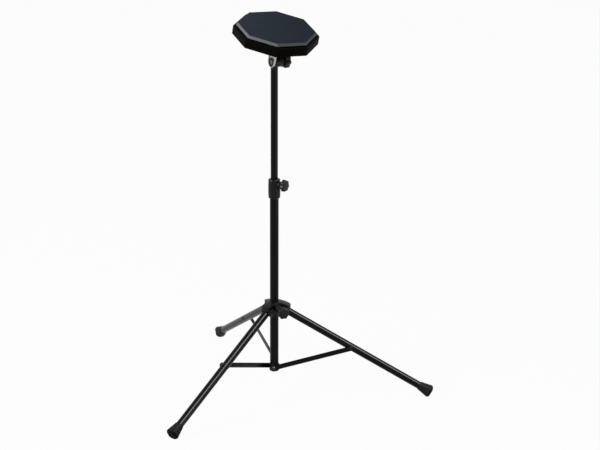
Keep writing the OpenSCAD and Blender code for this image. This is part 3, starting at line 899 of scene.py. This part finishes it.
@dataclass
class TripodLeg:
    """One leg: its tube and plug, rubber foot, brace strip, pins, spacer and pivot screw.

    The tables of the foot's points are in millimetres, other lengths in metres, angles in degrees.
    """

    side: str
    foot_bevel: float = 5.0 * MM
    foot_margin: float = 0.4 * MM
    end_start: float = 0.8 * MM
    rim_height: float = 0.8 * MM
    rim_points: Points = ((-0.6, 0.0), (-0.15, 0.3), (0.0, 0.8), (0.1, 2.2))
    flare_points: Points = ((-0.5, -2.5), (-0.08, -0.9), (-0.05, 0.3), (-0.6, 1.4))
    end_points: Points = ((0.45, -0.7), (-0.25, -0.1), (-0.9, 0.0))
    dish_points: Points = ((0.5, 0.0), (0.0, -0.3), (-0.3, -0.8))
    dish_share: float = 0.72
    foot_steps: int = 72
    foot_sharp: float = 50.0
    flat_share: float = 0.866
    flat_half: float = 45.0
    bore_margin: float = 0.5 * MM
    strip_edge: float = 0.35 * MM
    screw_head: float = 2.4 * MM
    place: Place = field(init=False)

    def __post_init__(self) -> None:
        """Lays the local Z axis from the leg's pivot on the collar through its brace's pivot."""
        pivot = Vector(JOINTS[f"leg_{self.side}_hinge"]["pos_m"])
        brace = Vector(JOINTS[f"brace_{self.side}_hinge"]["pos_m"])
        self.place = Place.at(pivot, brace - pivot)

    def build(self) -> None:
        """Builds the pieces of the leg and dresses its plain nodes."""
        self._foot()
        soften(f"brace_strip_{self.side}", f"brace_{self.side}", self.strip_edge, POWDER_COAT)
        away = Vector(JOINTS[f"leg_{self.side}_hinge"]["axis"])
        screw_low, screw_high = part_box(f"hub_screw_{self.side}")
        SocketScrew(
            f"pivot_screw_{self.side}", f"hub_screw_{self.side}",
            Place.at((screw_low + screw_high) / 2, -away), self.screw_head, OILED_STEEL,
        ).build()
        for node in ("leg", "leg_plug", "brace_pin", "brace_spacer", "leg_pin"):
            dress(f"{node}_{self.side}")

    def _foot(self) -> None:
        """Builds the rubber foot: a flared cap with a rolled rim and a dished, bevelled end."""
        node = f"foot_{self.side}"
        low, high = self.place.span(node)
        bore_end = self.place.span(f"leg_{self.side}")[1]
        bore = min(self.place.radii(node, low))
        shoulder = high - self.foot_bevel
        flare = self.place.rim(node, shoulder, self.foot_margin)
        rim = self.place.rim(node, low + self.rim_height, self.foot_margin)
        end = self.place.rim(node, high)
        dish = corner_points(end * self.dish_share, high, self.dish_points)
        profile = [
            (0.0, bore_end), (bore, bore_end), (bore, low),
            *corner_points(rim, low, self.rim_points),
            *corner_points(flare, shoulder, self.flare_points),
            *corner_points(end, high, self.end_points),
            *dish, (0.0, dish[-1][1]),
        ]
        mesh = lathe(profile, HOME, self.foot_steps)
        self._flatten(mesh, low, shoulder, bore + self.bore_margin)
        # Faces past the shoulder take the darker end rubber: painted shade on the foot's end.
        for face in mesh.faces:
            face.material_index = int(face.calc_center_median().z > shoulder + self.end_start)
        bmesh.ops.transform(mesh, matrix=self.place.matrix, verts=mesh.verts)
        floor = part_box(node)[0].z
        cut = bmesh.ops.bisect_plane(
            mesh, geom=mesh.verts[:] + mesh.edges[:] + mesh.faces[:], plane_co=(0, 0, floor),
            plane_no=(0, 0, 1), clear_inner=True,
        )
        sole_rim = [item for item in cut["geom_cut"] if isinstance(item, bmesh.types.BMEdge)]
        bmesh.ops.edgenet_fill(mesh, edges=sole_rim)
        bmesh.ops.recalc_face_normals(mesh, faces=mesh.faces)
        finishes = (FOOT_RUBBER, FOOT_END_SHADE_RUBBER)
        add_piece(f"rubber_foot_{self.side}", node, mesh, finishes, self.foot_sharp)

    def _flatten(
        self, mesh: bmesh.types.BMesh, low: float, shoulder: float, clear: float
    ) -> None:
        """Presses a flat into the top and into each side of a foot, deeper toward its flare.

        Args:
            mesh: the turned foot in the leg's own coordinates, with local X upward.
            low: the height of the foot's rim.
            shoulder: the height of its widest ring.
            clear: the radius within which nothing is pressed.
        """
        for vertex in mesh.verts:
            angle = math.degrees(math.atan2(vertex.co.y, vertex.co.x))
            if abs(angle) > 3 * self.flat_half or vertex.co.xy.length < clear:
                continue
            depth = min(max((vertex.co.z - low) / (shoulder - low), 0.0), 1.0)
            off_flat = (angle + self.flat_half) % (2 * self.flat_half) - self.flat_half
            press = min(1.0, self.flat_share / math.cos(math.radians(off_flat)))
            vertex.co.xy *= 1 + (press - 1) * depth


@dataclass
class Column:
    """The telescopic column: two tubes, the height clamp, the leg collar and the base plug."""

    collar_edge: float = 1.6 * MM
    clamp_edge: float = 1.0 * MM
    plug_edge: float = 0.6 * MM
    clamp_screw_r: float = 3.05 * MM
    clamp_hub_r: float = 7 * MM
    lobe_depth: float = 2 * MM

    def build(self) -> None:
        """Builds the column's moulded pieces and knobs, and dresses its tubes and inner pieces."""
        soften("height_clamp_body", "clamp_collar", self.clamp_edge, MOULDED_BLACK)
        soften("leg_collar_body", "leg_collar", self.collar_edge, MOULDED_BLACK)
        soften("base_plug_body", "base_plug", self.plug_edge, MOULDED_BLACK)
        for name in ("clamp", "collar"):
            GripKnob(
                f"{name}_knob_grip", f"{name}_knob", f"{name}_knob_turn", self.clamp_screw_r,
                self.clamp_hub_r, lobe_depth=self.lobe_depth,
            ).build()
        for node in (
            "lower_tube", "upper_tube", "mast_plug", "bush_ring", "guide_bush",
            "clamp_nut", "clamp_shoe", "clamp_screw", "collar_nut", "collar_shoe", "collar_screw",
        ):
            dress(node)


@dataclass
class Tilter:
    """The tilting joint under the pad: knuckle, bracket, bolt, washer and knob, with a black ring of painted shade
    in the bracket's recess.
    """

    bracket_edge: float = 0.45 * MM
    knuckle_edge: float = 0.6 * MM
    bolt_hole_r: float = 4.3 * MM
    hub_r: float = 9 * MM
    knob_head: float = 16 * MM
    knob_edge: float = 3.2 * MM
    bolt_head: float = 4.8 * MM
    ring_r: float = 11.6 * MM
    ring_t: float = 0.5 * MM
    ring_gap: float = 0.1 * MM
    ring_steps: int = 64

    def build(self) -> None:
        """Builds the tilter's pieces."""
        soften("pressed_bracket", "tilt_bracket", self.bracket_edge, ZINC_PLATE)
        soften("hinge_knuckle", "tilt_knuckle", self.knuckle_edge, MOULDED_BLACK)
        GripKnob(
            "tilt_knob_grip", "tilt_knob", "tilt_knob_turn", self.bolt_hole_r, self.hub_r,
            self.knob_head, edge=self.knob_edge,
        ).build()
        knob_side = Place.of_joint("tilt_knob_turn")
        head_side = Place.at(knob_side.origin, -knob_side.along)
        SocketScrew("tilt_bolt_head", "tilt_bolt", head_side, self.bolt_head, DULL_STEEL).build()
        self._lay_recess_shade(head_side)
        for node in ("bracket_screws", "tilt_washer", "tilt_insert"):
            dress(node)

    def _lay_recess_shade(self, place: Place) -> None:
        """Lays a thin black ring round the bolt's head, in the bracket's recess, as painted shade of the recess.

        Args:
            place: the bolt's place, with its head at the upper end.
        """
        seat = place.span("tilt_bolt")[1] - self.bolt_head
        top = seat + self.ring_t
        inner = place.widest("tilt_bolt") + self.ring_gap
        edge = self.ring_t / 3
        profile = [
            (inner, seat), (self.ring_r, seat), (self.ring_r, top - edge),
            (self.ring_r - edge, top), (inner + edge, top), (inner, top - edge), (inner, seat),
        ]
        # The black ring is painted shade that darkens the bracket's recess round the bolt's head.
        mesh = lathe(profile, place, self.ring_steps)
        ring = new_object("recess_shade_ring", mesh, [MOULDED_BLACK.material()])
        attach(ring, BODY_OF["tilt_bracket"])


# Studio


@dataclass(frozen=True)
class Softbox:
    """A soft rectangular lamp."""

    name: str
    spot: tuple[float, float, float]
    size: tuple[float, float]
    power: float
    reflected_only: bool = False

    def hang(self, aim: Vector) -> None:
        """Hangs the lamp.

        Args:
            aim: the point that it faces.
        """
        data = bpy.data.lights.new(self.name, "AREA")
        data.shape = "RECTANGLE"
        data.size, data.size_y = self.size
        data.energy = self.power
        lamp = bpy.data.objects.new(self.name, data)
        lamp.location = self.spot
        lamp.rotation_mode = "QUATERNION"
        lamp.rotation_quaternion = (aim - Vector(self.spot)).to_track_quat("-Z", "Y")
        lamp.visible_camera = False
        lamp.visible_diffuse = not self.reflected_only
        bpy.context.scene.collection.objects.link(lamp)


LAMPS = (
    Softbox("key_softbox", (-1.63, -3.02, 2.08), (1.4, 1.4), 160.0),
    Softbox("top_softbox", (4.76, 0.6, 6.6), (1.3, 1.3), 110.0),
    Softbox("stripe_card", (4.76, 0.6, 6.6), (3.4, 3.4), 1150.0, reflected_only=True),
    Softbox("low_strip", (1.35, 0.1, 0.35), (0.4, 0.5), 2.6),
)


@dataclass
class Studio:
    """A white floor, soft lamps and the camera."""

    camera_spot: tuple[float, float, float] = (2.3957, -3.0951, 1.6601)
    camera_heading: float = 37.74
    camera_dip: float = 17.33
    lens: float = 98.475
    sensor: float = 36.0
    shift: float = 0.0428
    view_depth: float = 100.0
    lamp_aim: tuple[float, float, float] = (0.0, 0.0, 0.5)
    floor_size: float = 60.0
    floor_cells: int = 4
    floor_paint: float = 0.5
    floor_glow: float = 0.965
    room_fill: float = 0.16
    room_white: float = 0.95

    def build(self) -> None:
        """Builds the floor, the world, the lamps and the camera."""
        self._floor()
        self._world()
        for lamp in LAMPS:
            lamp.hang(Vector(self.lamp_aim))
        self._camera()

    def _floor(self) -> None:
        """Lays the floor: white to the camera and to reflections, with the soft shadow kept."""
        material = bpy.data.materials.new("studio_floor_white")
        material.use_nodes = True
        nodes = NodeTree(material.node_tree)
        paint = nodes.add("BsdfDiffuse")
        paint.inputs["Color"].default_value = (*[self.floor_paint] * 3, 1.0)
        glow = nodes.add("Emission")
        blend = nodes.add("MixShader")
        share = nodes.calc("MULTIPLY", self._seen(nodes), self.floor_glow)
        nodes.join(share, blend.inputs["Fac"])
        nodes.join(paint.outputs[0], blend.inputs[1])
        nodes.join(glow.outputs[0], blend.inputs[2])
        output = nodes.add("OutputMaterial")
        nodes.join(blend.outputs[0], output.inputs["Surface"])
        mesh = bmesh.new()
        bmesh.ops.create_grid(
            mesh, x_segments=self.floor_cells, y_segments=self.floor_cells, size=self.floor_size / 2
        )
        floor = new_object("studio_floor", mesh, [material])

    def _seen(self, nodes: NodeTree) -> Socket:
        """Gives 1 for rays that show a surface: from the camera, a reflection or a clear piece."""
        path = nodes.add("LightPath").outputs
        seen = nodes.calc("MAXIMUM", path["Is Camera Ray"], path["Is Glossy Ray"])
        return nodes.calc("MAXIMUM", seen, path["Is Transmission Ray"])

    def _world(self) -> None:
        """Gives the room an even pale fill, and a white backdrop to the camera and reflections."""
        world = bpy.data.worlds.new("studio_room")
        world.use_nodes = True
        nodes = NodeTree(world.node_tree)
        room = nodes.add("Background")
        room.inputs["Color"].default_value = (1.0, 1.0, 1.0, 1.0)
        strength = nodes.remap(self._seen(nodes), self.room_fill, self.room_white)
        nodes.join(strength, room.inputs["Strength"])
        output = nodes.add("OutputWorld")
        nodes.join(room.outputs[0], output.inputs["Surface"])
        bpy.context.scene.world = world

    def _camera(self) -> None:
        """Sets the camera at the photograph's viewing angle."""
        data = bpy.data.cameras.new("photo_camera")
        data.lens = self.lens
        data.sensor_width = self.sensor
        data.shift_x = self.shift
        data.clip_end = self.view_depth
        camera = bpy.data.objects.new("photo_camera", data)
        camera.location = self.camera_spot
        pitch, heading = math.radians(90 - self.camera_dip), math.radians(self.camera_heading)
        camera.rotation_euler = (pitch, 0.0, heading)
        bpy.context.scene.collection.objects.link(camera)
        bpy.context.scene.camera = camera
        bpy.context.scene.view_settings.view_transform = "Standard"


def main() -> None:
    """Builds the sub-assemblies and the studio in order."""
    logging.basicConfig(level=logging.INFO, format="%(name)s: %(message)s")
    legs = [TripodLeg(side) for side in SIDES]
    for assembly in (PracticePad(), Tilter(), Column(), *legs, Studio()):
        assembly.build()


if __name__ == "__main__":
    main()
